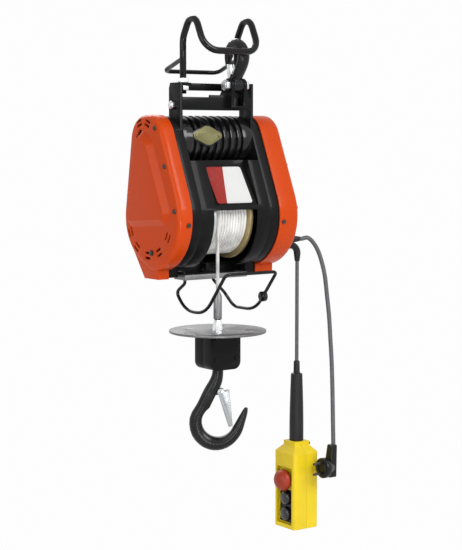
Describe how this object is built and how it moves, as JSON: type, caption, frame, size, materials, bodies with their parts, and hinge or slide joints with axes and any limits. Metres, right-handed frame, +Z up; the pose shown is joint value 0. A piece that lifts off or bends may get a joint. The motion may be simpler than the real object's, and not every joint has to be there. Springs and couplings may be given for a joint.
{
  "type": "electric wire rope hoist",
  "caption": "Small electric wire rope hoist with a finned motor over a rope drum, top hanger with safety hook, limit disc, swivel load hook and a pendant control on a cable.",
  "frame": {"origin": "axis of the top hook's seat, where the hoist hangs", "axes": "+X along the drum to the electrics' side, -Y to the front with the rope window, +Z up"},
  "size_m": [0.36, 0.2385, 0.9399],
  "materials": {
    "orange_paint": "gloss enamel",
    "black_paint": "satin black enamel",
    "black_forged": "black oxide",
    "motor_black": "black coated casting",
    "bright_steel": "zinc plated",
    "gear_steel": "ground, oiled",
    "rope_steel": "galvanised wire rope",
    "gold_plate": "yellow passivated",
    "copper_winding": "varnished copper",
    "stator_iron": "laminated iron",
    "black_rubber": "matt rubber",
    "grey_cable": "smooth sheath",
    "yellow_plastic": "moulded, fine grain",
    "red_plastic": "moulded",
    "black_plastic": "moulded",
    "blue_plastic": "moulded"
  },
  "bodies": {
    "frame": {"left_side_frame": "black_paint", "right_side_frame": "black_paint", "left_cover": "orange_paint", "right_cover": "orange_paint", "cover_screws": "bright_steel", "drum_guard": "black_paint", "rear_guard": "black_paint", "tie_rods": "bright_steel", "base_channel": "black_paint", "guide_bar": "bright_steel", "top_beam": "black_paint", "hanger": "black_paint", "hanger_nuts": "bright_steel", "top_bolts": "bright_steel", "motor_housing": "motor_black", "stator": "stator_iron", "brush_caps": "gold_plate", "bearings": "bright_steel", "gear_pins": "gear_steel", "brake_coil": "stator_iron", "capacitor": "bright_steel", "contactor": "black_plastic", "limit_switch": "blue_plastic", "power_gland": "black_rubber", "pendant_elbow": "black_rubber", "power_cord": "grey_cable", "plug": "black_rubber", "plug_pins": "bright_steel", "pendant_cable": "grey_cable", "pendant_boot": "black_rubber", "pendant_front": "yellow_plastic", "pendant_back": "yellow_plastic", "pendant_contacts": "black_plastic"},
    "rotor": {"armature": "copper_winding", "motor_shaft": "gear_steel", "motor_fan": "black_plastic", "brake_disc": "gear_steel"},
    "first_gear": {"first_wheel": "gear_steel"},
    "second_gear": {"second_wheel": "gear_steel"},
    "drum": {"drum_barrel": "gear_steel", "left_flange": "bright_steel", "right_flange": "gold_plate", "rope_coils": "rope_steel", "drum_shaft": "gear_steel", "drum_wheel": "gear_steel"},
    "hook_block": {"rope_fall": "rope_steel", "ferrule": "bright_steel", "thimble_eye": "bright_steel", "eye_pin": "bright_steel", "limit_disc": "bright_steel", "block_front": "black_paint", "block_rear": "black_paint"},
    "load_hook": {"load_hook": "black_forged"},
    "load_latch": {"load_latch": "bright_steel"},
    "top_hook": {"top_hook": "black_forged"},
    "top_latch": {"top_latch": "bright_steel"},
    "bail": {"limit_bail": "black_paint"},
    "stop_button": {"stop_button": "red_plastic"},
    "lift_button": {"lift_button": "black_plastic"},
    "lower_button": {"lower_button": "black_plastic"}
  },
  "joints": [
    {"name": "hook_travel", "type": "slide", "parent": "frame", "child": "hook_block", "axis": [0, 0, 1], "range_m": [-0.2501, 0.022], "deforming": ["rope_fall"]},
    {"name": "drum_turn", "type": "hinge", "parent": "frame", "child": "drum", "pos_m": [-0.035, 0.041, -0.282], "axis": [-1, 0, 0], "range_deg": [-218, 20]},
    {"name": "second_gear_turn", "type": "hinge", "parent": "frame", "child": "second_gear", "pos_m": [-0.132, 0.01937, -0.21543], "axis": [-1, 0, 0], "range_deg": [-78, 870]},
    {"name": "first_gear_turn", "type": "hinge", "parent": "frame", "child": "first_gear", "pos_m": [-0.125, 0.05566, -0.18517], "axis": [-1, 0, 0], "range_deg": [-3041, 269]},
    {"name": "motor_turn", "type": "hinge", "parent": "frame", "child": "rotor", "pos_m": [-0.035, 0.046, -0.147], "axis": [-1, 0, 0], "range_deg": [-938, 10640]},
    {"name": "load_hook_swivel", "type": "hinge", "parent": "hook_block", "child": "load_hook", "pos_m": [-0.0575, -0.025, -0.549], "axis": [0, 0, 1], "continuous": true},
    {"name": "load_latch_open", "type": "hinge", "parent": "load_hook", "child": "load_latch", "pos_m": [-0.05265, -0.02853, -0.591], "axis": [0.5878, 0.809, 0], "range_deg": [0, 30], "stiffness_Nm_per_rad": 0.06, "springref_deg": -28.65},
    {"name": "top_hook_swing", "type": "hinge", "parent": "frame", "child": "top_hook", "pos_m": [0, 0, -0.05], "axis": [1, 0, 0], "range_deg": [-25, 0]},
    {"name": "top_latch_open", "type": "hinge", "parent": "top_hook", "child": "top_latch", "pos_m": [0, 0.012, -0.033], "axis": [1, 0, 0], "range_deg": [0, 40], "stiffness_Nm_per_rad": 0.03, "springref_deg": -28.65},
    {"name": "bail_lift", "type": "hinge", "parent": "frame", "child": "bail", "pos_m": [-0.065, 0.033, -0.376], "axis": [-1, 0, 0], "range_deg": [0, 10]},
    {"name": "stop_press", "type": "slide", "parent": "frame", "child": "stop_button", "axis": [1, 0, 0], "range_m": [0, 0.004], "stiffness_N_per_m": 900, "springref_m": -0.002},
    {"name": "lift_press", "type": "slide", "parent": "frame", "child": "lift_button", "axis": [1, 0, 0], "range_m": [0, 0.0035], "stiffness_N_per_m": 900, "springref_m": -0.002},
    {"name": "lower_press", "type": "slide", "parent": "frame", "child": "lower_button", "axis": [1, 0, 0], "range_m": [0, 0.0035], "stiffness_N_per_m": 900, "springref_m": -0.002}
  ],
  "couplings": [
    {"joint": "drum_turn", "follows": "hook_travel", "rad_per_m": 15.152},
    {"joint": "second_gear_turn", "follows": "hook_travel", "rad_per_m": -60.606},
    {"joint": "first_gear_turn", "follows": "hook_travel", "rad_per_m": 212.12},
    {"joint": "motor_turn", "follows": "hook_travel", "rad_per_m": -742.42}
  ]
}
